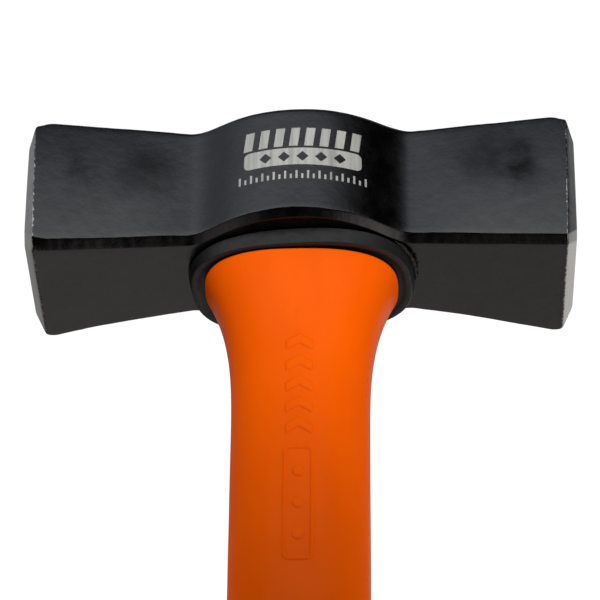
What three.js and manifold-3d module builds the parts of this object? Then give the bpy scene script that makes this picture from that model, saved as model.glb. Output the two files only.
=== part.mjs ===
// Double-faced hand sledge with a fibre-cored handle bonded into its head. Millimetres, +Z up.
// It stands on the flat top of its head with the handle pointing up, and the head's length lies along X.
import * as THREE from "three";
import { mergeVertices } from "three/addons/utils/BufferGeometryUtils.js";
import Module from "manifold-3d";

const wasm = await Module();
wasm.setup();

// ---- driving dimensions ----
const GAP = 0.3; // clearance left between neighbouring pieces

// head: flat top on Z = 0, arched underside, square ends that widen towards the striking faces
const HEAD_LENGTH = 125;
const FACE_BEVEL_DEPTH = 2.6; // ground bevel at each striking face, measured along X
const FACE_BEVEL_INSET = 3.8; // the same bevel, measured in from the sides
const EDGE_CHAMFER = 2.2; // chamfer on the four long edges
const END_HALF_WIDTH = 19.5;
const NECK_X = 25;
const NECK_HALF_WIDTH = 14.3;
const EYE_HEIGHT = 31.2; // height of the head at its middle
const ARCH_SLOPE = 0.16; // how fast the underside climbs towards the striking faces
const ARCH_SOFTNESS = 38;
const BULGE_HALF_WIDTH = 23.2;
const BULGE_RADIUS = 32;
const BULGE_BLEND = 4.4; // softness of the hollow between the bulge and the cheeks

// eye: an oval hole, wider at the head's top so that the cast resin cannot pull out
const EYE_TOP = { along: 18.3, across: 12.2 };
const EYE_MOUTH = { along: 17, across: 11.4 };
const RESIN_RECESS = 1.2;

// collar: oval ring between the head's underside and the handle's shoulder
const COLLAR_TOP_Z = 35.5;
const COLLAR_EDGE = { along: 25.1, across: 17.9 };
const COLLAR_ROOT = { along: 25.7, across: 18.3 };
const COLLAR_POWER = 2.66;

// bead of bonding resin that was pressed out beside the collar
const BEAD_RADIUS = 0.6;
const BEAD_FROM = Math.PI * 0.97;
const BEAD_TO = Math.PI * 1.2;

// handle
const HAMMER_LENGTH = 270;
const SHOULDER_Z = COLLAR_TOP_Z + GAP;
const SHOULDER = { along: 22.25, across: 16.4 };
const SHAFT = { along: 15.45, across: 12 };
const FLARE_LENGTH = 42;
const FLARE_POWER = 2.8;
const SHOULDER_POWER = 2.8;
const SHAFT_POWER = 2.35;
const RIM_ROUND = 0.8;
const CORE = { along: 11, across: 7.5 }; // pultruded rod, the same section from the eye to the butt
const CORE_END_Z = 256;
const GRIP_Z = 140;
const TENON = { along: 13.2, across: 9.8 }; // the jacket where the grip covers it
const TENON_END_Z = 264;
// grip outline: height, half size along X, half size along Y
const GRIP_OUTLINE = [
  [140, 16.3, 12.8],
  [152, 16.6, 13.1],
  [192, 17.6, 14.1],
  [230, 16.2, 12.9],
  [256, 19.2, 14.7],
  [264, 19.6, 15],
  [268.6, 18.8, 14.3],
];
const BUTT_ROUND = 1.6;

const RING_SIDES = 48;

// ---- shape helpers ----

// Points round an oval: power 2 is an ellipse, and a higher power has fuller corners.
function oval(size, power, height, sides = RING_SIDES) {
  const points = [];
  for (let i = 0; i < sides; i++) {
    const angle = (i / sides) * Math.PI * 2;
    const c = Math.cos(angle);
    const s = Math.sin(angle);
    const x = Math.sign(c) * Math.abs(c) ** (2 / power) * size.along;
    const y = Math.sign(s) * Math.abs(s) ** (2 / power) * size.across;
    points.push(new THREE.Vector3(x, y, typeof height === "function" ? height(x) : height));
  }
  return points;
}

// Skin over a row of point rings. An open row gets flat ends, and a closed row joins its last ring to its first.
function skin(rings, closed = false) {
  const sides = rings[0].length;
  const positions = rings.flat().flatMap((p) => [p.x, p.y, p.z]);
  const index = [];
  const last = closed ? rings.length : rings.length - 1;
  for (let r = 0; r < last; r++) {
    const here = r * sides;
    const next = ((r + 1) % rings.length) * sides;
    for (let i = 0; i < sides; i++) {
      const j = (i + 1) % sides;
      index.push(here + i, here + j, next + j, here + i, next + j, next + i);
    }
  }
  if (!closed) {
    for (const [ring, turned] of [[0, true], [rings.length - 1, false]]) {
      const centre = positions.length / 3;
      const middle = rings[ring]
        .reduce((sum, p) => sum.add(p), new THREE.Vector3())
        .divideScalar(sides);
      positions.push(middle.x, middle.y, middle.z);
      for (let i = 0; i < sides; i++) {
        const a = ring * sides + i;
        const b = ring * sides + ((i + 1) % sides);
        index.push(centre, turned ? b : a, turned ? a : b);
      }
    }
  }
  const geometry = new THREE.BufferGeometry();
  geometry.setAttribute("position", new THREE.Float32BufferAttribute(positions, 3));
  geometry.setIndex(index);
  return geometry;
}

function toSolid(geometry) {
  const bare = geometry.clone();
  bare.deleteAttribute("normal");
  bare.deleteAttribute("uv");
  const merged = mergeVertices(bare, 1e-4);
  return new wasm.Manifold(
    new wasm.Mesh({
      numProp: 3,
      vertProperties: merged.attributes.position.array,
      triVerts: new Uint32Array(merged.index.array),
    }),
  );
}

function toGeometry(solid) {
  const mesh = solid.getMesh();
  const geometry = new THREE.BufferGeometry();
  geometry.setAttribute("position", new THREE.Float32BufferAttribute(mesh.vertProperties, 3));
  geometry.setIndex(new THREE.Uint32BufferAttribute(mesh.triVerts, 1));
  geometry.computeVertexNormals();
  return geometry;
}

function cut(body, tool) {
  return toGeometry(toSolid(body).subtract(toSolid(tool)));
}

function grown(size, by) {
  return { along: size.along + by, across: size.across + by };
}

function between(a, b, t) {
  return {
    along: THREE.MathUtils.lerp(a.along, b.along, t),
    across: THREE.MathUtils.lerp(a.across, b.across, t),
  };
}

// ---- head ----

// Height of the arched underside above the head's flat top.
function undersideZ(x) {
  return EYE_HEIGHT + ARCH_SLOPE * (Math.hypot(x, ARCH_SOFTNESS) - ARCH_SOFTNESS);
}

// Half width of the head: straight cheeks, and a round bulge that blends into them with a soft hollow.
function headHalfWidth(x) {
  const out = Math.abs(x);
  const cheekEnd = HEAD_LENGTH / 2 - FACE_BEVEL_DEPTH;
  const slope = (END_HALF_WIDTH - NECK_HALF_WIDTH) / (cheekEnd - NECK_X);
  const cheek = NECK_HALF_WIDTH + slope * (out - NECK_X);
  const reach = Math.min(out, BULGE_RADIUS);
  const bulge = BULGE_HALF_WIDTH - BULGE_RADIUS + Math.sqrt(BULGE_RADIUS ** 2 - reach ** 2);
  const overlap = Math.max(BULGE_BLEND - Math.abs(cheek - bulge), 0);
  return Math.max(cheek, bulge) + overlap ** 2 / (4 * BULGE_BLEND);
}

// Cross-section of the head at x: a rectangle with chamfered corners, drawn in by `inset` on all sides.
function headSection(x, shapeX, inset) {
  const w = headHalfWidth(shapeX) - inset;
  const low = inset;
  const high = undersideZ(shapeX) - inset;
  const c = EDGE_CHAMFER;
  return [
    [c - w, low],
    [w - c, low],
    [w, low + c],
    [w, high - c],
    [w - c, high],
    [c - w, high],
    [-w, high - c],
    [-w, low + c],
  ].map(([y, z]) => new THREE.Vector3(x, y, z));
}

function headStations() {
  const shoulder = HEAD_LENGTH / 2 - FACE_BEVEL_DEPTH;
  const stations = [];
  const fineReach = 32;
  const fineSteps = 32;
  for (let x = 44; x > fineReach; x -= 6) stations.push(x);
  const outer = [shoulder, 52, ...stations];
  const inner = Array.from({ length: fineSteps + 1 }, (_, i) => fineReach - (i * 2 * fineReach) / fineSteps);
  return [...outer, ...inner, ...outer.map((x) => -x).reverse()].reverse();
}

function makeHead() {
  const stations = headStations();
  const shoulder = stations[stations.length - 1];
  const face = HEAD_LENGTH / 2;
  const sections = [
    headSection(-face, -shoulder, FACE_BEVEL_INSET),
    ...stations.map((x) => headSection(x, x, 0)),
    headSection(face, shoulder, FACE_BEVEL_INSET),
  ];
  const past = 2;
  const eyeAt = (z) => between(EYE_TOP, EYE_MOUTH, z / EYE_HEIGHT);
  const low = -past;
  const high = EYE_HEIGHT + past;
  const eye = skin([oval(eyeAt(low), 2, low), oval(eyeAt(high), 2, high)]);
  return cut(skin(sections), eye);
}

// ---- what holds the handle in the head ----

function makeEyeResin() {
  const low = RESIN_RECESS;
  const high = EYE_HEIGHT - GAP;
  const outerAt = (z) => grown(between(EYE_TOP, EYE_MOUTH, z / EYE_HEIGHT), -GAP);
  const hole = grown(CORE, GAP);
  const past = 1;
  return cut(
    skin([oval(outerAt(low), 2, low), oval(outerAt(high), 2, high)]),
    skin([oval(hole, 2, low - past), oval(hole, 2, high + past)]),
  );
}

function makeCoreRod() {
  const section = new THREE.Shape().absellipse(0, 0, CORE.along, CORE.across, 0, Math.PI * 2);
  const depth = CORE_END_Z - RESIN_RECESS;
  const rod = new THREE.ExtrudeGeometry(section, { depth, bevelEnabled: false, curveSegments: 32 });
  return toGeometry(toSolid(rod.translate(0, 0, RESIN_RECESS)));
}

function makeCollar() {
  const root = (x) => undersideZ(x) + GAP;
  const edge = COLLAR_TOP_Z;
  const ease = 0.7;
  const hole = grown(CORE, GAP);
  return toGeometry(
    toSolid(
      skin(
        [
          oval(hole, 2, root),
          oval(COLLAR_ROOT, COLLAR_POWER, root),
          oval(COLLAR_EDGE, COLLAR_POWER, edge - ease),
          oval(grown(COLLAR_EDGE, -ease), COLLAR_POWER, edge),
          oval(hole, 2, edge),
        ],
        true,
      ),
    ),
  );
}

function makeBondBead() {
  const sides = 6;
  const steps = 12;
  const path = grown(COLLAR_ROOT, GAP + BEAD_RADIUS);
  const rings = [];
  for (let i = 0; i <= steps; i++) {
    const angle = THREE.MathUtils.lerp(BEAD_FROM, BEAD_TO, i / steps);
    const c = Math.cos(angle);
    const s = Math.sin(angle);
    const x = Math.sign(c) * Math.abs(c) ** (2 / COLLAR_POWER) * path.along;
    const y = Math.sign(s) * Math.abs(s) ** (2 / COLLAR_POWER) * path.across;
    const outward = new THREE.Vector2(c, s);
    const thick = BEAD_RADIUS * (0.45 + 0.55 * Math.sin((i / steps) * Math.PI));
    const z = undersideZ(x) + GAP + thick;
    const ring = [];
    for (let k = 0; k < sides; k++) {
      const turn = -(k / sides) * Math.PI * 2;
      const off = thick * Math.cos(turn);
      const up = thick * Math.sin(turn);
      ring.push(new THREE.Vector3(x + outward.x * off, y + outward.y * off, z + up));
    }
    rings.push(ring);
  }
  return skin(rings);
}

// ---- handle ----

// Outer rings of the jacket where it shows: the flared shoulder, then the plain shaft up to the grip.
function jacketRings() {
  const rings = [
    oval(grown(SHOULDER, -RIM_ROUND), SHOULDER_POWER, SHOULDER_Z),
    oval(grown(SHOULDER, -0.1), SHOULDER_POWER, SHOULDER_Z + RIM_ROUND),
  ];
  const steps = 14;
  for (let i = 1; i <= steps; i++) {
    const t = i / steps;
    const size = between(SHAFT, SHOULDER, (1 - t) ** FLARE_POWER);
    const power = THREE.MathUtils.lerp(SHOULDER_POWER, SHAFT_POWER, t);
    rings.push(oval(size, power, SHOULDER_Z + t * FLARE_LENGTH));
  }
  return rings;
}

function makeHandleJacket() {
  const step = GRIP_Z - GAP;
  const round = 2;
  const outside = [
    ...jacketRings(),
    oval(SHAFT, SHAFT_POWER, step),
    oval(TENON, SHAFT_POWER, step + 0.05),
    oval(TENON, SHAFT_POWER, TENON_END_Z - round),
    oval(grown(TENON, -round), SHAFT_POWER, TENON_END_Z),
  ];
  const pocket = grown(CORE, GAP);
  return cut(
    skin(outside),
    skin([oval(pocket, 2, SHOULDER_Z - 1), oval(pocket, 2, CORE_END_Z + GAP)]),
  );
}

function makeGrip() {
  const outline = new THREE.CatmullRomCurve3(
    GRIP_OUTLINE.map(([z, along, across]) => new THREE.Vector3(along, across, z)),
  );
  const rings = outline
    .getPoints(24)
    .map((p) => oval({ along: p.x, across: p.y }, SHAFT_POWER, p.z));
  const end = outline.getPoint(1);
  const butt = grown({ along: end.x, across: end.y }, -BUTT_ROUND);
  rings.push(oval(butt, SHAFT_POWER, HAMMER_LENGTH));
  const pocket = grown(TENON, GAP);
  return cut(
    skin(rings),
    skin([oval(pocket, SHAFT_POWER, GRIP_Z - 1), oval(pocket, SHAFT_POWER, TENON_END_Z + GAP)]),
  );
}

// ---- assembly ----

const hammer = new THREE.Group();

function addPiece(name, geometry, color, roughness, metalness) {
  const material = new THREE.MeshStandardMaterial({ color, roughness, metalness });
  const mesh = new THREE.Mesh(geometry, material);
  mesh.name = name;
  hammer.add(mesh);
}

addPiece("head", makeHead(), 0x2c2d2f, 0.38, 0.35);
addPiece("eye_resin", makeEyeResin(), 0x1c1a18, 0.45, 0);
addPiece("core_rod", makeCoreRod(), 0xd8cf9e, 0.5, 0);
addPiece("collar", makeCollar(), 0x262727, 0.6, 0);
addPiece("bond_bead", makeBondBead(), 0x141414, 0.5, 0);
addPiece("handle_jacket", makeHandleJacket(), 0xf2600c, 0.42, 0);
addPiece("grip", makeGrip(), 0x1b1b1c, 0.75, 0);

export default hammer;
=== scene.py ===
import math
import bmesh
import bpy
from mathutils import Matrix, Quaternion, Vector, noise


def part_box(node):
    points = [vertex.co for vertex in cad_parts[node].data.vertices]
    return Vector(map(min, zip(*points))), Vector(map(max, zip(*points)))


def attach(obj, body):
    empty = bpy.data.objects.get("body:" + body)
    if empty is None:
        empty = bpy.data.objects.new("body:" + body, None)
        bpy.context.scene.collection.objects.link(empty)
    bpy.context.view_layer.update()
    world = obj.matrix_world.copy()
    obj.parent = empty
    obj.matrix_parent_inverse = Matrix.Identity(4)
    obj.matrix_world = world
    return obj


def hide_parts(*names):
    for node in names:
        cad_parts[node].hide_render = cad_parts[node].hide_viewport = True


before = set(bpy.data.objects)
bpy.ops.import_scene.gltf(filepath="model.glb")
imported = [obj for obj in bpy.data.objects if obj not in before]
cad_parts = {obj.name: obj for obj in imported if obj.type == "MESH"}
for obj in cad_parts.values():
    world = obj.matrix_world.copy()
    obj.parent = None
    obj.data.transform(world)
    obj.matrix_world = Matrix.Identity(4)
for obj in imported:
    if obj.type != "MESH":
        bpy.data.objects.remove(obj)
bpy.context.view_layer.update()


# ---------------------------------------------------------------- camera
# A long lens looks down at the upright hammer from in front and above. The camera is rolled half a turn,
# so that the head comes at the top and the handle hangs down out of view.
MM = 0.001
SIGHT_YAW = math.radians(-2.03)
SIGHT_DOWN = math.radians(34.91)
CAMERA_ROLL = math.radians(180.52)
CAMERA_DISTANCE = 724.2 * MM
AIM = Vector((0.38, 0, 38.75)) * MM

sight = Vector((
    -math.sin(SIGHT_YAW) * math.cos(SIGHT_DOWN),
    math.cos(SIGHT_YAW) * math.cos(SIGHT_DOWN),
    -math.sin(SIGHT_DOWN),
))
camera = bpy.data.objects.new("camera", bpy.data.cameras.new("camera"))
camera.data.lens = 191.2
camera.data.clip_start = 0.05
camera.data.clip_end = 60
camera.location = AIM - sight * CAMERA_DISTANCE
camera.rotation_mode = "QUATERNION"
camera.rotation_quaternion = sight.to_track_quat("-Z", "Y") @ Quaternion((0, 0, 1), CAMERA_ROLL)
bpy.context.scene.collection.objects.link(camera)
bpy.context.scene.camera = camera


# ---------------------------------------------------------------- studio
# The hammer stands on a wide white light table. A broad lamp hangs overhead, a snoot shines from the front
# and there are small softboxes at the sides. Nothing here is part of the hammer.
TABLE_RADIUS = 14.0
TABLE_SIDES = 64
TABLE_WHITE = (0.08, 0.08, 0.08)
TABLE_GLOW = 1.0
AIR_GLOW = 0.006
BELOW_TINT = (0.86, 0.94, 1.12, 1)
LEVEL_TINT = (1.0, 1.0, 0.98, 1)
ABOVE_TINT = (1.06, 0.98, 0.96, 1)
BRIGHT_PATCHES = (  # azimuth, elevation, inner and outer angle, brightness
    (206, 42, 10, 60, 0.53), (-76, 43, 14, 32, 1.4), (76, 42, 14, 32, 0.5), (-146, -11, 8, 32, 0.92),
    (52, -38, 8, 34, 0.38), (120, -28, 12, 46, 0.3), (-116, -36, 10, 28, 0.1),
)
BLACK_CARD = (-74, -30, 18, 50)  # azimuth, elevation, inner and outer angle


def new_finish(name, colour, roughness, metallic=0.0, specular=0.5):
    """A node material whose shader is ready, and that shader."""
    finish = bpy.data.materials.new(name)
    finish.use_nodes = True
    shader = finish.node_tree.nodes["Principled BSDF"]
    shader.inputs["Base Color"].default_value = (*colour[:3], 1)
    shader.inputs["Roughness"].default_value = roughness
    shader.inputs["Metallic"].default_value = metallic
    shader.inputs["Specular IOR Level"].default_value = specular
    return finish, shader


def add_node(finish, kind, settings=None, **sockets):
    """A node of that kind. Values are set and outputs are wired. A socket is named, or numbered as in i0."""
    node = finish.node_tree.nodes.new(kind)
    for key, value in (settings or {}).items():
        setattr(node, key, value)
    for key, value in sockets.items():
        socket = node.inputs[int(key[1:])] if key[1:].isdigit() else node.inputs[key.replace("_", " ")]
        if isinstance(value, bpy.types.NodeSocket):
            finish.node_tree.links.new(value, socket)
        else:
            socket.default_value = value
    return node


def grain(finish, per_metre, detail=4.0, rough=0.55, stretch=(1, 1, 1)):
    """Noise fixed to the piece, with that many features to the metre."""
    place = add_node(finish, "ShaderNodeTexCoord").outputs["Object"]
    place = add_node(finish, "ShaderNodeMapping", Vector=place, Scale=stretch).outputs["Vector"]
    return add_node(
        finish, "ShaderNodeTexNoise", Vector=place, Scale=per_metre, Detail=detail, Roughness=rough
    ).outputs["Fac"]


def spread(finish, value, low, high, to_low, to_high):
    """The value, taken from one range to another and held at its ends."""
    return add_node(
        finish, "ShaderNodeMapRange", i0=value, i1=low, i2=high, i3=to_low, i4=to_high
    ).outputs["Result"]


def blend_colours(finish, share, first, second):
    """The first colour where the share is 0, and the second where it is 1."""
    mix = add_node(finish, "ShaderNodeMix", {"data_type": "RGBA"}, i0=share, i6=first, i7=second)
    return mix.outputs[2]


def arithmetic(finish, operation, first, second=0.0):
    """One sum on two values."""
    return add_node(finish, "ShaderNodeMath", {"operation": operation}, i0=first, i1=second).outputs[0]


def relief(finish, height, depth, under=None):
    """Surface relief of that depth in metres, on top of an earlier relief if there is one."""
    sockets = {"Height": height, "Distance": depth, "Strength": 1.0}
    if under is not None:
        sockets["Normal"] = under
    return add_node(finish, "ShaderNodeBump", **sockets).outputs["Normal"]


def finish_wire(finish, value, shader, socket):
    """Feeds the value into that socket of the shader."""
    finish.node_tree.links.new(value, shader.inputs[socket])


def new_piece(name, points, faces, *finishes):
    """A mesh object from points in metres."""
    mesh = bpy.data.meshes.new(name)
    mesh.from_pydata([tuple(p) for p in points], [], faces)
    mesh.validate()
    piece = bpy.data.objects.new(name, mesh)
    bpy.context.scene.collection.objects.link(piece)
    for finish in finishes:
        mesh.materials.append(finish)
    return piece


def full_turn(sides):
    """Angles all the way round, in equal steps."""
    return [k / sides * math.tau for k in range(sides)]


acrylic, acrylic_shader = new_finish("opal_acrylic", TABLE_WHITE, 0.9, specular=0.2)
acrylic_shader.inputs["Emission Color"].default_value = (1, 1, 1, 1)
acrylic_shader.inputs["Emission Strength"].default_value = TABLE_GLOW
finish_wire(acrylic, relief(acrylic, grain(acrylic, 900), 0.02 * MM), acrylic_shader, "Normal")
floor_points = [(0, 0, 0)]
floor_faces = []
for step, turn in enumerate(full_turn(TABLE_SIDES)):
    floor_points.append((TABLE_RADIUS * math.cos(turn), TABLE_RADIUS * math.sin(turn), 0))
    floor_faces.append((0, step + 1, (step + 1) % TABLE_SIDES + 1))
floor = new_piece("light_table", floor_points, floor_faces, acrylic)
floor.visible_glossy = False  # gloss mirrors the studio air instead


def hang_light(light, name, place, aim):
    """Hangs a light that shines from one point towards another. Neither the camera nor the gloss sees it."""
    lamp = bpy.data.objects.new(name, light)
    lamp.location = place
    lamp.rotation_mode = "QUATERNION"
    lamp.rotation_quaternion = (Vector(aim) - Vector(place)).to_track_quat("-Z", "Y")
    lamp.visible_camera = False
    lamp.visible_glossy = False
    bpy.context.scene.collection.objects.link(lamp)


overhead = bpy.data.lights.new("overhead", "SUN")
overhead.energy = 1.1
overhead.angle = math.radians(14)
hang_light(overhead, "overhead", (0, 0, 2), (0, 0, 0))

snoot = bpy.data.lights.new("front_snoot", "SPOT")
snoot.energy = 38
snoot.shadow_soft_size = 0.03
snoot.spot_size = math.radians(10.5)
snoot.spot_blend = 1.0
hang_light(snoot, "front_snoot", (-0.16, -1.0, 0.35), (0, 0, 0.015))

for side, watts in ((-1, 0.2), (1, 0.25)):
    softbox = bpy.data.lights.new("side_softbox", "AREA")
    softbox.shape = "RECTANGLE"
    softbox.size = 0.5
    softbox.size_y = 0.35
    softbox.energy = watts
    hang_light(softbox, "side_softbox", (side * 0.8, 0.05, 0.12), (0, 0, 0.04))

world = bpy.data.worlds.new("studio_air")
world.use_nodes = True
direction = add_node(world, "ShaderNodeTexCoord").outputs["Generated"]
sky = add_node(world, "ShaderNodeSeparateXYZ", Vector=direction).outputs


def sky_patch(azimuth, elevation, inner, outer):
    """1 within the inner angle of a direction, falling to 0 at the outer one. 0 is in front, and 90 is +X."""
    a, e = math.radians(azimuth), math.radians(elevation)
    centre = (math.sin(a) * math.cos(e), -math.cos(a) * math.cos(e), math.sin(e))
    dot = add_node(world, "ShaderNodeVectorMath", {"operation": "DOT_PRODUCT"}, i0=direction, i1=centre)
    edges = math.cos(math.radians(outer)), math.cos(math.radians(inner))
    return spread(world, dot.outputs["Value"], *edges, 0.0, 1.0)


# The air is bright in front, just under eye level, and fades towards the back, the ground and the sky.
below = spread(world, sky["Z"], -0.77, -0.34, 0.35, 2.5)
below = arithmetic(world, "MULTIPLY", below, spread(world, sky["Z"], -0.16, -0.04, 1.0, 0.0))
below = arithmetic(world, "MULTIPLY", below, spread(world, sky["Y"], -0.8, -0.3, 1.0, 0.13))
brightness = arithmetic(world, "ADD", below, AIR_GLOW)
for *patch, level in BRIGHT_PATCHES:
    glow = arithmetic(world, "MULTIPLY", sky_patch(*patch), level)
    brightness = arithmetic(world, "ADD", brightness, glow)
black_card = arithmetic(world, "SUBTRACT", 1.0, sky_patch(*BLACK_CARD))
brightness = arithmetic(world, "MULTIPLY", brightness, black_card)
cool_to_warm = spread(world, sky["Z"], -0.75, -0.35, 0.0, 1.0)
studio_tint = blend_colours(world, cool_to_warm, BELOW_TINT, LEVEL_TINT)
above = spread(world, sky["Z"], -0.1, 0.2, 0.0, 1.0)
studio_tint = blend_colours(world, above, studio_tint, ABOVE_TINT)
background = world.node_tree.nodes["Background"]
finish_wire(world, studio_tint, background, "Color")
finish_wire(world, brightness, background, "Strength")
bpy.context.scene.world = world
bpy.context.scene.view_settings.view_transform = "Standard"


# ---------------------------------------------------------------- head
# One steel drop forging: flat on top, arched underneath, with an oval eye through its round middle.
# It is dipped in black lacquer, and then the two striking faces and their bevels are ground bare.
head_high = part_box("head")[1]
HALF_LENGTH = head_high.x / MM
HALF_BULGE = head_high.y / MM
EYE_HEIGHT = 31.2
BEVEL_DEPTH = 2.4
BEVEL_INSET = 3.8
BEVEL_START = HALF_LENGTH - BEVEL_DEPTH
LONG_EDGES = (  # side, whether it is underneath, chamfer in mm
    (1, False, 2.2), (1, True, 1.3), (-1, True, 1.75), (-1, False, 1.45),
)
CORNER_ROUND = 0.7
TOP_ROLL_FROM = 56.2  # from this x out, the flat top rolls off towards its ends
TOP_ROLL = 1.35
REAR_ROLL_FROM = 57  # from here out, the back's lower edge gets rounder
REAR_ROLL = 1.1
PRESSED_FROM = 55.5  # from here to the right, the front's lower chamfer gets deeper
PRESSED_TO = 60
EDGE_WANDER = 0.12
EDGE_RIPPLE = 0.035
TIP_TAPER = 0.3  # how far the striking faces lean in underneath
TIP_BEVEL = 0.72  # the bevels' depth at the flat top, as a share of that underneath
CHEEK_CROWN = 0.75
FACE_CROWN = 0.03
END_HALF_WIDTH = 19.5
NECK_X = 25
NECK_HALF_WIDTH = 14.3
BULGE_RADIUS = 32
BULGE_BLEND = 4.4
ARCH_SLOPE = 0.16
ARCH_SOFTNESS = 38
LACQUER = (0.0004, 0.0004, 0.0005)
LACQUER_DUSTY = (0.0022, 0.0022, 0.0021)
LACQUER_GLOSS = 0.5
PAINT_EDGE_RAGGED = 0.45
SMUDGE_DULLNESS = 0.26
SMUDGES = ((34.5, 12, 9), (-44, 11.5, 9), (-52, 15, 7), (50, 13, 6))  # dull spots on the front: x, z, reach
BARE_STEEL = (0.46, 0.45, 0.435)
DARK_STEEL = (0.27, 0.265, 0.255)


def held(share):
    """The share, held between 0 and 1."""
    return min(1, max(0, share))


def eased(share):
    """The share, with a soft start and a soft end."""
    return share * share * (3 - 2 * share)


def beyond(value, start, end):
    """0 up to the start, 1 at the end and more past it."""
    return max(0, (value - start) / (end - start))


def underside(x):
    """Height in mm of the head's arched underside."""
    return EYE_HEIGHT + ARCH_SLOPE * (math.hypot(x, ARCH_SOFTNESS) - ARCH_SOFTNESS)


def half_width(x):
    """Half width in mm of the head: straight cheeks, with the round bulge blended into them."""
    out = abs(x)
    slope = (END_HALF_WIDTH - NECK_HALF_WIDTH) / (BEVEL_START - NECK_X)
    cheek = NECK_HALF_WIDTH + slope * (out - NECK_X)
    reach = min(out, BULGE_RADIUS)
    bulge = HALF_BULGE - BULGE_RADIUS + math.sqrt(BULGE_RADIUS**2 - reach**2)
    overlap = max(BULGE_BLEND - abs(cheek - bulge), 0)
    return max(cheek, bulge) + overlap**2 / (4 * BULGE_BLEND)


def rounded_outline(corners, radius, flat_steps, arc_steps):
    """Points and outward normals round a polygon whose corners are rounded."""
    count = len(corners)
    outline = []
    for i, corner in enumerate(corners):
        before = (corners[i - 1] - corner).normalized()
        after = (corners[(i + 1) % count] - corner).normalized()
        turn = math.pi - before.angle(after)
        back = radius * math.tan(turn / 2)
        centre = corner + (before + after).normalized() * (radius / math.cos(turn / 2))
        start = corner + before * back - centre
        end = corner + after * back - centre
        for k in range(arc_steps + 1):
            arm = start.slerp(end, k / arc_steps).normalized()
            outline.append((centre + arm * radius, arm))
        following = corners[(i + 1) % count]
        onward = (corners[(i + 2) % count] - following).normalized()
        next_turn = math.pi - (corner - following).angle(onward)
        flat_start = corner + after * back
        flat_end = following - after * radius * math.tan(next_turn / 2)
        outward = end.normalized()
        for k in range(1, flat_steps[i]):
            outline.append((flat_start.lerp(flat_end, k / flat_steps[i]), outward))
    return outline


def hollow(x, y, z):
    """Depth in mm of the uneven forged surface: wavy on the cheeks, and smoother on the bulge."""
    spot = Vector((x, y, z))
    straight = held((abs(x) - NECK_X + 4) / 12)
    broad_wave = noise.noise(spot / 14) * (0.03 + 0.08 * straight)
    fine_wave = noise.noise(spot / 4.5 + Vector((9, 0, 0))) * 0.02
    return max(0, 0.08 + 0.04 * straight - broad_wave - fine_wave)


def head_ring(x, inset, shape_x):
    """One rounded cross-section of the forging at x. Its size is that at shape_x, drawn in by the inset."""
    w = half_width(shape_x) - inset
    low = inset + TOP_ROLL * beyond(abs(shape_x), TOP_ROLL_FROM, BEVEL_START) ** 2.4
    high = underside(shape_x) - inset
    straight = eased(held((abs(shape_x) - NECK_X + 3) / 22))
    corners = []
    for index, (side, under, chamfer) in enumerate(LONG_EDGES):
        uneven = EDGE_WANDER * noise.noise(Vector((shape_x / 11, index * 7.3, 0)))
        uneven += EDGE_RIPPLE * noise.noise(Vector((shape_x / 1.7, index * 3.1, 5)))
        pressed_out = 0
        if under and side > 0:
            uneven += REAR_ROLL * beyond(abs(shape_x), REAR_ROLL_FROM, BEVEL_START) ** 2
        elif under:
            pressed_out = beyond(shape_x, PRESSED_FROM, PRESSED_TO)
        elif side < 0:
            uneven += 0.5 * (1 - straight)
        c = chamfer * (1 + uneven)
        edge_z = high if under else low
        inward = -1 if under else 1
        pair = [
            Vector((side * (w - c), edge_z)),
            Vector((side * w, edge_z + inward * c * (1 + 0.6 * pressed_out**2))),
        ]
        if (side > 0) == under:
            pair.reverse()
        corners += pair
    ring = []
    painted = 1 - min(1, inset / 0.4)
    for point, outward in rounded_outline(corners, CORNER_ROUND, (3, 22) * 4, 4):
        lean = 2 * point.y / underside(shape_x) - 1
        moved = point - outward * (hollow(x, point.x, point.y) * painted + 0.02)
        moved.x *= 1 - CHEEK_CROWN * straight * lean**2 / w
        out = HALF_LENGTH - abs(x)
        if out < BEVEL_DEPTH + 0.8:
            up = moved.y / underside(HALF_LENGTH)
            out = out * (TIP_BEVEL + (1 - TIP_BEVEL) * up) + TIP_TAPER * up
        ring.append(Vector((math.copysign(HALF_LENGTH - out, x), moved.x, moved.y)) * MM)
    return ring


def skin(rings, closed_start=True, closed_end=True):
    """Quads between rings of points, with a fan over each closed end."""
    sides = len(rings[0])
    points = [p for ring in rings for p in ring]
    faces = []
    for r in range(len(rings) - 1):
        for i in range(sides):
            j = (i + 1) % sides
            faces.append((r * sides + i, r * sides + j, (r + 1) * sides + j, (r + 1) * sides + i))
    for wanted, r, turned in ((closed_start, 0, True), (closed_end, len(rings) - 1, False)):
        if not wanted:
            continue
        middle = sum((Vector(p) for p in rings[r]), Vector()) / sides
        points.append(middle)
        for i in range(sides):
            a = r * sides + i
            b = r * sides + (i + 1) % sides
            faces.append((len(points) - 1, b, a) if turned else (len(points) - 1, a, b))
    return points, faces


END_PROFILE = (  # distance from the face's plane, and how far the outline is drawn in
    (BEVEL_DEPTH + 0.9, 0.0), (BEVEL_DEPTH + 0.35, 0.0), (BEVEL_DEPTH + 0.1, 0.03),
    (BEVEL_DEPTH - 0.1, 0.17), (BEVEL_DEPTH - 0.35, 0.52), (BEVEL_DEPTH * 0.55, BEVEL_INSET * 0.45),
    (0.45, BEVEL_INSET - 0.66), (0.22, BEVEL_INSET - 0.28), (0.08, BEVEL_INSET + 0.1),
    (0.03, BEVEL_INSET + 0.6),
)
BODY_STEPS = 236
BODY_REACH = BEVEL_START - 0.9


def end_rings(side):
    """Rings over one end's bevel, from the cheeks out to the rim of the striking face."""
    rings = []
    for out, inset in END_PROFILE:
        x = HALF_LENGTH - out
        rings.append(head_ring(side * x, inset, side * min(x, BEVEL_START)))
    return rings


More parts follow.
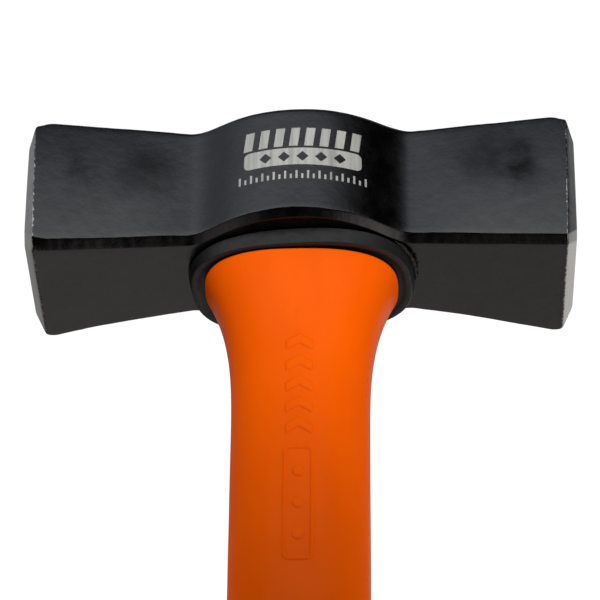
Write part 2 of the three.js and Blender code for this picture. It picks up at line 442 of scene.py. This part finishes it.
def face_rings(rim, side):
    """Rings from the rim of a striking face in to its middle, which is crowned very slightly."""
    middle = sum(rim, Vector()) / len(rim)
    rings = []
    for share in (0.85, 0.68, 0.5, 0.32, 0.15):
        ring = [middle.lerp(p, share) for p in rim]
        for p in ring:
            p.x -= side * FACE_CROWN * share**2 * MM
        rings.append(ring)
    return rings


left_end, right_end = end_rings(-1), end_rings(1)
head_rings = face_rings(left_end[-1], -1)[::-1] + left_end[::-1]
for k in range(1, BODY_STEPS):
    x = -BODY_REACH + 2 * BODY_REACH * k / BODY_STEPS
    head_rings.append(head_ring(x, 0, x))
head_rings += right_end + face_rings(right_end[-1], 1)
head_points, head_faces = skin(head_rings)


def uneven(finish, noise_value, low, high):
    """A value that wanders between two limits with the noise."""
    return spread(finish, noise_value, 0.3, 0.7, low, high)


def mottle(finish, noise_value, low, high, dark, light):
    """The dark colour where the noise is low, and the light one where it is high."""
    return blend_colours(finish, spread(finish, noise_value, low, high, 0, 1), (*dark, 1), (*light, 1))


black_forging, lacquer = new_finish("black_lacquered_forging", LACQUER, 0.3, specular=LACQUER_GLOSS)
place = add_node(black_forging, "ShaderNodeTexCoord").outputs["Object"]
along_head = add_node(black_forging, "ShaderNodeSeparateXYZ", Vector=place).outputs
reach_x = arithmetic(black_forging, "ABSOLUTE", along_head["X"])
reach_x = arithmetic(black_forging, "MULTIPLY", reach_x, 1 / MM)
bevel_lean = spread(
    black_forging, along_head["Z"], 0, EYE_HEIGHT * MM, -BEVEL_DEPTH * (1 - TIP_BEVEL), TIP_TAPER
)
reach_x = arithmetic(black_forging, "ADD", reach_x, bevel_lean)
ragged = uneven(black_forging, grain(black_forging, 800, 8, 0.75), -PAINT_EDGE_RAGGED, PAINT_EDGE_RAGGED)
reach_x = arithmetic(black_forging, "ADD", reach_x, ragged)
bare = spread(black_forging, reach_x, BEVEL_START + 0.02, BEVEL_START + 0.1, 0.0, 1.0)
painted_share = arithmetic(black_forging, "SUBTRACT", 1.0, bare)

cloud = grain(black_forging, 140, 5, 0.6)
lacquer_colour = mottle(black_forging, cloud, 0.45, 0.75, LACQUER, LACQUER_DUSTY)
grind = grain(black_forging, 300, 8, 0.75, (1, 0.3, 3))
steel_colour = mottle(black_forging, grind, 0.35, 0.65, DARK_STEEL, BARE_STEEL)
head_colour = blend_colours(black_forging, bare, lacquer_colour, steel_colour)
finish_wire(black_forging, head_colour, lacquer, "Base Color")
finish_wire(black_forging, bare, lacquer, "Metallic")

dullness = 0.0
for x, z, reach in SMUDGES:
    spot = Vector((x, -half_width(x), z)) * MM
    away = add_node(
        black_forging, "ShaderNodeVectorMath", {"operation": "DISTANCE"}, i0=place, i1=spot
    ).outputs["Value"]
    away = arithmetic(black_forging, "ADD", away, uneven(black_forging, cloud, -3 * MM, 3 * MM))
    smudge = spread(black_forging, away, 0, reach * MM, SMUDGE_DULLNESS, 0.0)
    dullness = arithmetic(black_forging, "ADD", dullness, smudge)
gloss = arithmetic(black_forging, "SUBTRACT", LACQUER_GLOSS, dullness)
finish_wire(black_forging, gloss, lacquer, "Specular IOR Level")

lacquer_rough = uneven(black_forging, grain(black_forging, 420, 5, 0.6), 0.2, 0.32)
steel_rough = uneven(black_forging, grind, 0.32, 0.55)
rough_mix = add_node(
    black_forging, "ShaderNodeMix", {"data_type": "FLOAT"}, i0=bare, i2=lacquer_rough, i3=steel_rough
)
finish_wire(black_forging, rough_mix.outputs[0], lacquer, "Roughness")

pits = arithmetic(black_forging, "MULTIPLY", grain(black_forging, 260, 6, 0.6), painted_share)
head_relief = relief(black_forging, pits, 0.10 * MM)
head_relief = relief(black_forging, grain(black_forging, 1500, 3, 0.5), 0.008 * MM, head_relief)
grind_lines = arithmetic(black_forging, "MULTIPLY", grind, bare)
head_relief = relief(black_forging, grind_lines, 0.05 * MM, head_relief)
finish_wire(black_forging, head_relief, lacquer, "Normal")

head = new_piece("forged_head", head_points, head_faces, black_forging)


def cut_away(piece, tool):
    """Takes the tool's solid out of the piece, and removes the tool."""
    cutter = piece.modifiers.new("cut", "BOOLEAN")
    cutter.object = tool
    cutter.solver = "EXACT"
    graph = bpy.context.evaluated_depsgraph_get()
    cut_mesh = bpy.data.meshes.new_from_object(piece.evaluated_get(graph))
    piece.modifiers.clear()
    piece.data = cut_mesh
    bpy.data.objects.remove(tool)


def smooth_except_edges(piece, degrees):
    """Smooth shading that stays crisp where two faces meet at more than that angle."""
    for face in piece.data.polygons:
        face.use_smooth = True
    piece.data.set_sharp_from_angle(angle=math.radians(degrees))


EYE_TOP = (18.3, 12.2)  # half sizes at the flat top, and underneath, where the handle goes in
EYE_MOUTH = (17.0, 11.4)


def eye_size(z):
    """Half length and half width in mm of the tapered eye at that height."""
    share = z / EYE_HEIGHT
    return [a + (b - a) * share for a, b in zip(EYE_TOP, EYE_MOUTH)]


def grown(half, by):
    """Half sizes made larger all round by that many mm, or smaller if it is negative."""
    return [h + by for h in half]


def ellipse(half, z, sides=96):
    """Points in metres round a level ellipse."""
    return [Vector((half[0] * math.cos(t), half[1] * math.sin(t), z)) * MM for t in full_turn(sides)]


eye_rings = []
for z, flare in ((-1, 1.3), (0.1, 0.5), (0.6, 0), (EYE_HEIGHT - 0.6, 0), (EYE_HEIGHT + 1, 1.2)):
    eye_rings.append(ellipse(grown(eye_size(z), flare), z))
cut_away(head, new_piece("eye_cutter", *skin(eye_rings)))
smooth_except_edges(head, 40)
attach(head, "root")
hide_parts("head")


# ---------------------------------------------------------------- etched panel
# A plain panel is lasered through the lacquer on the bulge's front: slanted bars, a rounded plate with
# cut-outs and a row of fine ticks. The laser leaves the steel pale and slightly streaked.
PANEL_MIDDLE = -0.7
PANEL_HALF = 13.3
BAR_ROW = (7.2, 12.3)
BAR_COUNT = 8
BAR_PITCH = 2 * PANEL_HALF / (BAR_COUNT - 0.3)
BAR_WIDTH = 0.58 * BAR_PITCH
BAR_SLANT = 0.6
PLATE_ROW = (12.9, 17.6)
PLATE_CORNER = 1.3
DIAMOND_PITCH = 4.2
DIAMOND_HALF = 1.4
TICK_ROW = (19.3, 21.5)
TICK_COUNT = 23
TICK_REACH = PANEL_HALF + 0.9
TICK_HALF = 0.24
TICK_SHORTER = 0.9
STRIP_WIDTH = 0.5
ETCH_DARK = (0.22, 0.22, 0.21)
ETCH_PALE = (0.42, 0.415, 0.39)


def arc_points(cx, cz, radius, start, end, steps=8):
    """Points on an arc, between two angles in degrees."""
    turns = [math.radians(start + (end - start) * k / steps) for k in range(steps + 1)]
    return [(cx + radius * math.cos(t), cz + radius * math.sin(t)) for t in turns]


def rounded_box(x0, z0, x1, z1, radius):
    """Points round a rectangle with rounded corners."""
    return (
        arc_points(x1 - radius, z0 + radius, radius, -90, 0)
        + arc_points(x1 - radius, z1 - radius, radius, 0, 90)
        + arc_points(x0 + radius, z1 - radius, radius, 90, 180)
        + arc_points(x0 + radius, z0 + radius, radius, 180, 270)
    )


etched = []
low, high = BAR_ROW
for k in range(BAR_COUNT):
    left = -PANEL_HALF + k * BAR_PITCH
    right = left + BAR_WIDTH
    etched.append([[(left, low), (right, low), (right + BAR_SLANT, high), (left + BAR_SLANT, high)]])

low, high = PLATE_ROW
plate = [rounded_box(-PANEL_HALF, low, PANEL_HALF, high, PLATE_CORNER)]
middle = (low + high) / 2
for k in range(-2, 3):
    cx = k * DIAMOND_PITCH
    plate.append([
        (cx - DIAMOND_HALF, middle), (cx, middle - DIAMOND_HALF),
        (cx + DIAMOND_HALF, middle), (cx, middle + DIAMOND_HALF),
    ])
etched.append(plate)

for k in range(TICK_COUNT):
    left = -TICK_REACH + 2 * TICK_REACH * k / (TICK_COUNT - 1) - TICK_HALF
    right = left + 2 * TICK_HALF
    low = TICK_ROW[0] + (TICK_SHORTER if k % 2 else 0)
    etched.append([[(left, low), (right, low), (right, TICK_ROW[1]), (left, TICK_ROW[1])]])

strips = bmesh.new()
for outlines in etched:
    sheet = bpy.data.curves.new("etched_outline", "CURVE")
    sheet.dimensions = "2D"
    sheet.fill_mode = "BOTH"
    sheet.extrude = 0.02
    for outline in outlines:
        spline = sheet.splines.new("POLY")
        spline.points.add(len(outline) - 1)
        spline.use_cyclic_u = True
        for point, (x, z) in zip(spline.points, outline):
            point.co = (x + PANEL_MIDDLE, z, 0, 1)
    flat = bpy.data.objects.new("etched_outline", sheet)
    bpy.context.scene.collection.objects.link(flat)
    bpy.context.view_layer.update()
    graph = bpy.context.evaluated_depsgraph_get()
    strips.from_mesh(bpy.data.meshes.new_from_object(flat.evaluated_get(graph)))
    bpy.data.objects.remove(flat)

# The flat marks are cut into narrow strips, so that they bend round the bulge.
for k in range(-32, 32):
    everything = strips.verts[:] + strips.edges[:] + strips.faces[:]
    bmesh.ops.bisect_plane(strips, geom=everything, plane_co=(k * STRIP_WIDTH, 0, 0), plane_no=(1, 0, 0))
for vertex in strips.verts:
    x, z, out = vertex.co
    surface = -half_width(x)
    vertex.co = Vector((x, surface + hollow(x, surface, z) - 0.005 - out, z)) * MM
bmesh.ops.recalc_face_normals(strips, faces=strips.faces[:])
panel_mesh = bpy.data.meshes.new("etched_panel")
strips.to_mesh(panel_mesh)
strips.free()

etched_steel, etched_shader = new_finish("etched_steel", (0.36, 0.355, 0.335), 0.45, metallic=0.35)
streaks = grain(etched_steel, 900, 5, 0.7, (1, 1, 0.05))
etched_colour = mottle(etched_steel, streaks, 0.3, 0.7, ETCH_DARK, ETCH_PALE)
finish_wire(etched_steel, etched_colour, etched_shader, "Base Color")
finish_wire(etched_steel, relief(etched_steel, streaks, 0.01 * MM), etched_shader, "Normal")
etched_panel = bpy.data.objects.new("etched_panel", panel_mesh)
panel_mesh.materials.append(etched_steel)
bpy.context.scene.collection.objects.link(etched_panel)
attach(etched_panel, "root")


# ---------------------------------------------------------------- core rod and eye resin
# The handle's core is a pultruded glass-fibre rod. It stands in the eye, and dark epoxy is cast round it,
# so that its sawn end and the resin show in the head's flat top.
FIBRE_DARK = (0.42, 0.36, 0.2)
FIBRE_PALE = (0.72, 0.67, 0.47)
RESIN_GAP = 0.3
RESIN_SINK = 0.35  # the cast resin shrinks into a shallow dish
RESIN_STEPS = 10
rod_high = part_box("core_rod")[1]
CORE = (rod_high.x / MM, rod_high.y / MM)
resin_low, resin_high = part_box("eye_resin")
RESIN_START = resin_low.z / MM
RESIN_END = resin_high.z / MM

fibre, fibre_shader = new_finish("pultruded_fibre", (0.62, 0.56, 0.36), 0.5)
strands = grain(fibre, 3000, 3, 0.6, (1, 1, 0.02))
finish_wire(fibre, mottle(fibre, strands, 0.35, 0.65, FIBRE_DARK, FIBRE_PALE), fibre_shader, "Base Color")
finish_wire(fibre, relief(fibre, strands, 0.03 * MM), fibre_shader, "Normal")
core_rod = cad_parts["core_rod"]
core_rod.data.materials.clear()
core_rod.data.materials.append(fibre)

resin, resin_shader = new_finish("cast_epoxy", (0.007, 0.0065, 0.006), 0.34, specular=0.3)
finish_wire(resin, relief(resin, grain(resin, 500, 4, 0.5), 0.06 * MM), resin_shader, "Normal")
rod_side = grown(CORE, RESIN_GAP)
wall_side = grown(eye_size(RESIN_START), -RESIN_GAP)
resin_rings = []
for k in range(RESIN_STEPS + 1):
    share = k / RESIN_STEPS
    size = [rod + (wall - rod) * share for rod, wall in zip(rod_side, wall_side)]
    resin_rings.append(ellipse(size, RESIN_START + RESIN_SINK * math.sin(share * math.pi)))
resin_rings.append(ellipse(grown(eye_size(RESIN_END), -RESIN_GAP), RESIN_END))
resin_rings.append(ellipse(rod_side, RESIN_END))
resin_rings.append(resin_rings[0])
resin_points, resin_faces = skin(resin_rings, False, False)
eye_resin = new_piece("cast_eye_resin", resin_points, resin_faces, resin)


def weld(piece, reach=0.001):
    """Joins points that lie within that many mm of each other, and turns all faces outwards."""
    shape = bmesh.new()
    shape.from_mesh(piece.data)
    bmesh.ops.remove_doubles(shape, verts=shape.verts[:], dist=reach * MM)
    bmesh.ops.recalc_face_normals(shape, faces=shape.faces[:])
    shape.to_mesh(piece.data)
    shape.free()


weld(eye_resin)
smooth_except_edges(eye_resin, 35)
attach(eye_resin, "root")
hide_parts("eye_resin")


# ---------------------------------------------------------------- collar
# A black moulded ring fills the space between the head and the handle's shoulder, and dams the resin
# while it sets. Its back follows the arch of the head, and its front is dished, with a rounded rim.
collar_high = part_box("collar")[1]
COLLAR_ROOT = (collar_high.x / MM, collar_high.y / MM)
COLLAR_EDGE = (COLLAR_ROOT[0] - 0.6, COLLAR_ROOT[1] - 0.4)
COLLAR_POWER = 2.66
COLLAR_GAP = 0.3
COLLAR_FRONT = collar_high.z / MM
COLLAR_ROUND = 0.28
COLLAR_TWIST = math.radians(4)
COLLAR_SHIFT = 0.4
COLLAR_DISH = 0.55
DISH_PROFILE = (  # distance in from the edge, and drop below the rim
    (0.9, 0.0), (1.2, 0.04), (1.6, 0.22), (2.0, 0.45), (2.5, COLLAR_DISH), (6.0, COLLAR_DISH),
)
collar_angles = full_turn(192)


def oval(half_x, half_y, power, angles):
    """Points in mm round an oval: power 2 is an ellipse, and a higher power has fuller corners."""
    points = []
    for t in angles:
        c, s = math.cos(t), math.sin(t)
        x = math.copysign(abs(c) ** (2 / power) * half_x, c)
        y = math.copysign(abs(s) ** (2 / power) * half_y, s)
        points.append(Vector((x, y, 0)))
    return points


def quarter_turn(steps):
    """Angles from 0 to a quarter turn, in equal steps."""
    return [k / steps * math.pi / 2 for k in range(steps + 1)]


def askew(p):
    """The point turned and shifted as the collar is: it was glued on a little askew."""
    c, s = math.cos(COLLAR_TWIST), math.sin(COLLAR_TWIST)
    return Vector((p.x * c - p.y * s, p.x * s + p.y * c + COLLAR_SHIFT, p.z))


def behind(x):
    """Height in mm of the collar's back, which follows the arch of the head."""
    return underside(x) + COLLAR_GAP


def at_height(ring, height):
    """The ring in metres, at a height in mm that is a number or a function of x."""
    for p in ring:
        p.z = height(p.x) if callable(height) else height
    return [p * MM for p in ring]


def collar_ring(half, height):
    """One ring of the collar's own oval."""
    return at_height([askew(p) for p in oval(*half, COLLAR_POWER, collar_angles)], height)


def hole_ring(height):
    """One ring of the straight hole round the core."""
    return at_height(oval(*grown(CORE, COLLAR_GAP), 2, collar_angles), height)


collar_rings = [
    hole_ring(behind),
    collar_ring(grown(COLLAR_ROOT, -0.25), behind),
    collar_ring(COLLAR_ROOT, lambda x: behind(x) + 0.25),
]
for turn in quarter_turn(5):
    inward = COLLAR_ROUND * (1 - math.cos(turn))
    height = COLLAR_FRONT - COLLAR_ROUND * (1 - math.sin(turn))
    collar_rings.append(collar_ring(grown(COLLAR_EDGE, -inward), height))
for inward, drop in DISH_PROFILE:
    collar_rings.append(collar_ring(grown(COLLAR_EDGE, -inward), COLLAR_FRONT - drop))
collar_rings.append(hole_ring(COLLAR_FRONT - COLLAR_DISH))
collar_rings.append(collar_rings[0])
collar_black, collar_shader = new_finish("collar_black", (0.007, 0.0072, 0.0075), 0.45, specular=0.33)
collar_rough = uneven(collar_black, grain(collar_black, 700, 5, 0.6), 0.42, 0.6)
finish_wire(collar_black, collar_rough, collar_shader, "Roughness")
collar_texture = relief(collar_black, grain(collar_black, 1800, 5, 0.6), 0.03 * MM)
finish_wire(collar_black, collar_texture, collar_shader, "Normal")
collar = new_piece("moulded_collar", *skin(collar_rings, False, False), collar_black)
weld(collar)
smooth_except_edges(collar, 40)
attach(collar, "root")
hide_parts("collar")


# ---------------------------------------------------------------- bond bead
# A little of the bonding resin was pressed out between the collar and the head, and it set there
# as a thin, ragged black bead.
BEAD_FROM = math.pi * 0.98
BEAD_TO = math.pi * 1.2
BEAD_STEPS = 160
BEAD_OUT = 0.35
bead_rings = []
for k in range(BEAD_STEPS + 1):
    share = k / BEAD_STEPS
    t = BEAD_FROM + (BEAD_TO - BEAD_FROM) * share
    path = askew(oval(*grown(COLLAR_ROOT, BEAD_OUT), COLLAR_POWER, [t])[0])
    lump = noise.noise(Vector((share * 11, 3.1, 0)))
    spike = max(0, noise.noise(Vector((share * 46, 8.7, 0)))) ** 1.5
    taper = max(0.12, math.sin(share * math.pi)) ** 0.5
    outward = Vector((math.cos(t), math.sin(t), 0))
    ring = []
    for a in full_turn(12):
        rough = 1 + 0.35 * noise.noise(Vector((share * 60, math.cos(a) * 2, math.sin(a) * 2)))
        reach = (0.5 + 0.3 * lump + (1.6 * spike if math.cos(a) > 0.3 else 0)) * taper * rough
        rise = (0.42 + 0.22 * lump) * taper * rough
        point = path + outward * math.cos(a) * reach
        point.z = behind(point.x) - 0.15 + rise * (1 + math.sin(a))
        ring.append(point * MM)
    bead_rings.append(ring)
bond_bead = new_piece("pressed_out_resin", *skin(bead_rings), resin)
weld(bond_bead)
smooth_except_edges(bond_bead, 60)
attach(bond_bead, "root")
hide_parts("bond_bead")


# ---------------------------------------------------------------- handle jacket
# Orange polypropylene is moulded round the core in a two-part mould. It flares into an oval shoulder
# at the collar, carries raised marks and a faint parting line, and ends in a tenon under the grip.
jacket_low, jacket_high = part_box("handle_jacket")
SHOULDER_Z = jacket_low.z / MM
TENON_END = jacket_high.z / MM
SHOULDER = (22.25, 16.4)
SHAFT = (15.45, 12.0)
TENON = (13.2, 9.8)
FLARE_LENGTH = 42
FLARE_POWER = 3.15
SHOULDER_POWER = 2.62
SHAFT_POWER = 2.35
RIM_ROUND = 0.45
SEAM_HEIGHT = 0.05
SEAM_END = 54  # the front's parting line stops below the raised marks
CHEVRONS = (56.2, 83.2, 5)
CHEVRON_LEAN = 0.6
CHEVRON_HALF = 1.15
CHEVRON_REACH = 2.9
FRAME_SPAN = (85.8, 113.5)
FRAME_HALF = 3.0
FRAME_CORNER = 1.2
FRAME_LINE = 0.28
STUD_RADIUS = 1.25
STUD_FROM_END = 6
RAISED = 0.3
GRIP_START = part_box("grip")[0].z / MM
ORANGE = (0.72, 0.089, 0.0004)
ORANGE_DEEP = (0.67, 0.078, 0.0003)

# The angles are close together on the strip down the front that carries the marks.
FRONT_STRIP = 0.28
FRONT_STEPS = 25
SWEEP_STEPS = 150
jacket_angles = []
for k in range(-FRONT_STEPS, FRONT_STEPS + 1):
    u = k / FRONT_STEPS * FRONT_STRIP
    jacket_angles.append(-math.pi / 2 + math.asin(math.copysign(abs(u) ** (SHAFT_POWER / 2), u)))
sweep_start = jacket_angles[-1]
sweep = math.tau - (jacket_angles[-1] - jacket_angles[0])
jacket_angles += [sweep_start + sweep * k / SWEEP_STEPS for k in range(1, SWEEP_STEPS)]


def jacket_size(z):
    """Half length, half width and fullness of the jacket at that height."""
    share = held((z - SHOULDER_Z) / FLARE_LENGTH)
    flare = (1 - share) ** FLARE_POWER
    along = SHAFT[0] + (SHOULDER[0] - SHAFT[0]) * flare
    across = SHAFT[1] + (SHOULDER[1] - SHAFT[1]) * flare
    return along, across, SHOULDER_POWER + (SHAFT_POWER - SHOULDER_POWER) * share


def soft_step(value, edge, softness=0.1):
    """1 while the value is below the edge, and 0 above it."""
    return eased(held((edge + softness - value) / (2 * softness)))


def box_distance(x, z, cx, cz, hx, hz, radius):
    """Distance in mm from a rounded rectangle's edge, negative inside it."""
    dx = abs(x - cx) - hx + radius
    dz = abs(z - cz) - hz + radius
    return math.hypot(max(dx, 0), max(dz, 0)) + min(max(dx, dz), 0) - radius


def raised_height(x, z):
    """Height in mm of the raised marks on the front: five chevrons, and a rounded frame with three studs."""
    start, end, count = CHEVRONS
    pitch = (end - start) / count
    if start < z < end:
        local = (z - start) % pitch
        arm = local - 0.4 - abs(x) * CHEVRON_LEAN
        ridge = max(abs(arm - CHEVRON_HALF) - CHEVRON_HALF, abs(x) - CHEVRON_REACH)
        return RAISED * soft_step(ridge, 0)
    low, high = FRAME_SPAN
    centre = (low + high) / 2
    to_outline = box_distance(x, z, 0, centre, FRAME_HALF, (high - low) / 2, FRAME_CORNER)
    stud_places = (low + STUD_FROM_END, centre, high - STUD_FROM_END)
    studs = min(math.hypot(x, z - place) - STUD_RADIUS for place in stud_places)
    return RAISED * max(soft_step(abs(to_outline) - FRAME_LINE, 0), soft_step(studs, 0))


def jacket_ring(z, drawn=0.0):
    """One oval section of the jacket, with its slight sinks, its parting lines and its raised marks."""
    along, across, power = jacket_size(z)
    ring = oval(along - drawn, across - drawn, power, jacket_angles)
    for p in ring:
        front = p.y < 0
        sink = 0.05 + 0.04 * noise.noise(Vector((p.x, p.y, z)) / 16)
        raised = 0.0
        if z < SEAM_END or not front:
            raised += SEAM_HEIGHT * soft_step(abs(p.x), 0.16)
        if front and abs(p.x) < 4.5 and CHEVRONS[0] - 1 < z < FRAME_SPAN[1] + 1:
            raised += raised_height(p.x, z)
        p.y += (-1 if front else 1) * (raised - sink)
        p.x -= math.copysign(sink, p.x) * abs(p.x) / along
        p.z = z
    return [p * MM for p in ring]


def plain_ring(half, power, z, angles):
    """One smooth oval ring."""
    return at_height(oval(*half, power, angles), z)


POCKET_GAP = 0.3
pocket = grown(CORE, POCKET_GAP)
jacket_rings = [
    plain_ring(pocket, 2, rod_high.z / MM + POCKET_GAP, jacket_angles),
    plain_ring(pocket, 2, SHOULDER_Z, jacket_angles),
]
for turn in quarter_turn(5):
    inward = RIM_ROUND * (1 - math.sin(turn))
    jacket_rings.append(jacket_ring(SHOULDER_Z + RIM_ROUND * (1 - math.cos(turn)), inward))
z = SHOULDER_Z + RIM_ROUND + 0.5
while z < GRIP_START - 0.4:
    jacket_rings.append(jacket_ring(z))
    in_marks = CHEVRONS[0] - 1.5 < z < FRAME_SPAN[1] + 1.5
    z += 0.19 if in_marks else 1.0
jacket_rings += [
    jacket_ring(GRIP_START - 0.4),
    plain_ring(TENON, SHAFT_POWER, GRIP_START - 0.3, jacket_angles),
    plain_ring(TENON, SHAFT_POWER, TENON_END - 2, jacket_angles),
    plain_ring(grown(TENON, -2), SHAFT_POWER, TENON_END, jacket_angles),
]

orange_plastic, orange_shader = new_finish("orange_polypropylene", ORANGE, 0.34, specular=0.035)
swirl = grain(orange_plastic, 90, 3, 0.5, (1, 1, 0.35))
orange_colour = mottle(orange_plastic, swirl, 0.3, 0.7, ORANGE_DEEP, ORANGE)
finish_wire(orange_plastic, orange_colour, orange_shader, "Base Color")
orange_rough = uneven(orange_plastic, grain(orange_plastic, 500, 4, 0.6), 0.26, 0.38)
finish_wire(orange_plastic, orange_rough, orange_shader, "Roughness")
turned_away = add_node(orange_plastic, "ShaderNodeLayerWeight", Blend=0.5).outputs["Facing"]
orange_gloss = spread(orange_plastic, turned_away, 0.03, 0.2, 0.11, 0.006)
finish_wire(orange_plastic, orange_gloss, orange_shader, "Specular IOR Level")
spark = relief(orange_plastic, grain(orange_plastic, 4000, 3, 0.6), 0.008 * MM)
finish_wire(orange_plastic, spark, orange_shader, "Normal")
jacket = new_piece("moulded_jacket", *skin(jacket_rings), orange_plastic)
smooth_except_edges(jacket, 50)
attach(jacket, "root")
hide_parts("handle_jacket")


# ---------------------------------------------------------------- grip
# Soft black rubber is moulded over the lower handle in a second shot. A lip closes it against the orange,
# grooves run round its sides for the fingers, and it swells into a flat butt that stops the hand.
GRIP_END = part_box("grip")[1].z / MM
GRIP_POWER = 2.35
GRIP_OUTLINE = (  # height, half length, half width
    (140, 16.3, 12.8), (152, 16.6, 13.1), (192, 17.6, 14.1), (230, 16.2, 12.9),
    (256, 19.2, 14.7), (264, 19.6, 15.0), (268.6, 18.8, 14.3),
)
BUTT_ROUND = 1.6
GROOVE_FROM = 152
GROOVE_TO = 250
GROOVE_PITCH = 4.9
GROOVE_DEPTH = 0.75
RING_PITCH = 0.45
grip_angles = full_turn(144)


def grip_size(z):
    """Half sizes of the grip at that height, on a smooth curve through its outline."""
    last = len(GRIP_OUTLINE) - 1
    i = max(k for k in range(last) if GRIP_OUTLINE[k][0] <= z or k == 0)
    before, here = GRIP_OUTLINE[max(i - 1, 0)], GRIP_OUTLINE[i]
    after, further = GRIP_OUTLINE[i + 1], GRIP_OUTLINE[min(i + 2, last)]
    span = after[0] - here[0]
    t = (z - here[0]) / span
    sizes = []
    for axis in (1, 2):
        slope_in = (after[axis] - before[axis]) / (after[0] - before[0]) * span
        slope_out = (further[axis] - here[axis]) / (further[0] - here[0]) * span
        sizes.append(
            here[axis] * (2 * t**3 - 3 * t**2 + 1) + slope_in * (t**3 - 2 * t**2 + t)
            + after[axis] * (3 * t**2 - 2 * t**3) + slope_out * (t**3 - t**2)
        )
    return sizes


def grip_ring(z, drawn=0.0):
    """One oval section of the grip, with the finger grooves in its sides."""
    half = grown(grip_size(z), -drawn)
    ring = oval(*half, GRIP_POWER, grip_angles)
    groove = 0.0
    if GROOVE_FROM < z < GROOVE_TO:
        away = abs((z - GROOVE_FROM) % GROOVE_PITCH - GROOVE_PITCH / 2)
        groove = soft_step(away, 0.85, 0.45)
    for p in ring:
        side = eased(held((abs(p.x) / half[0] - 0.42) / 0.16))
        length = math.hypot(p.x, p.y)
        p *= (length - 0.05 - GROOVE_DEPTH * groove * side) / length
    return at_height(ring, z)


grip_pocket = grown(TENON, POCKET_GAP)
grip_rings = [
    plain_ring(grip_pocket, SHAFT_POWER, TENON_END + POCKET_GAP, grip_angles),
    plain_ring(grip_pocket, SHAFT_POWER, GRIP_START, grip_angles),
]
for turn in quarter_turn(4):
    grip_rings.append(grip_ring(GRIP_START + 1 - math.cos(turn), 1 - math.sin(turn)))
z = GRIP_START + 1.5
while z < GRIP_END - BUTT_ROUND - 0.3:
    grip_rings.append(grip_ring(z))
    z += RING_PITCH
butt = grown(grip_size(GRIP_END - 1.5), -0.1)
for turn in quarter_turn(6):
    inward = BUTT_ROUND * (1 - math.cos(turn))
    height = GRIP_END - BUTT_ROUND * (1 - math.sin(turn))
    grip_rings.append(plain_ring(grown(butt, -inward), GRIP_POWER, height, grip_angles))

grip_black, grip_shader = new_finish("soft_black_rubber", (0.017, 0.017, 0.0175), 0.62)
grip_rough = uneven(grip_black, grain(grip_black, 600, 5, 0.6), 0.5, 0.72)
finish_wire(grip_black, grip_rough, grip_shader, "Roughness")
grip_texture = relief(grip_black, grain(grip_black, 2600, 4, 0.6), 0.05 * MM)
finish_wire(grip_black, grip_texture, grip_shader, "Normal")
grip = new_piece("soft_grip", *skin(grip_rings), grip_black)
smooth_except_edges(grip, 50)
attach(grip, "root")
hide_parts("grip")
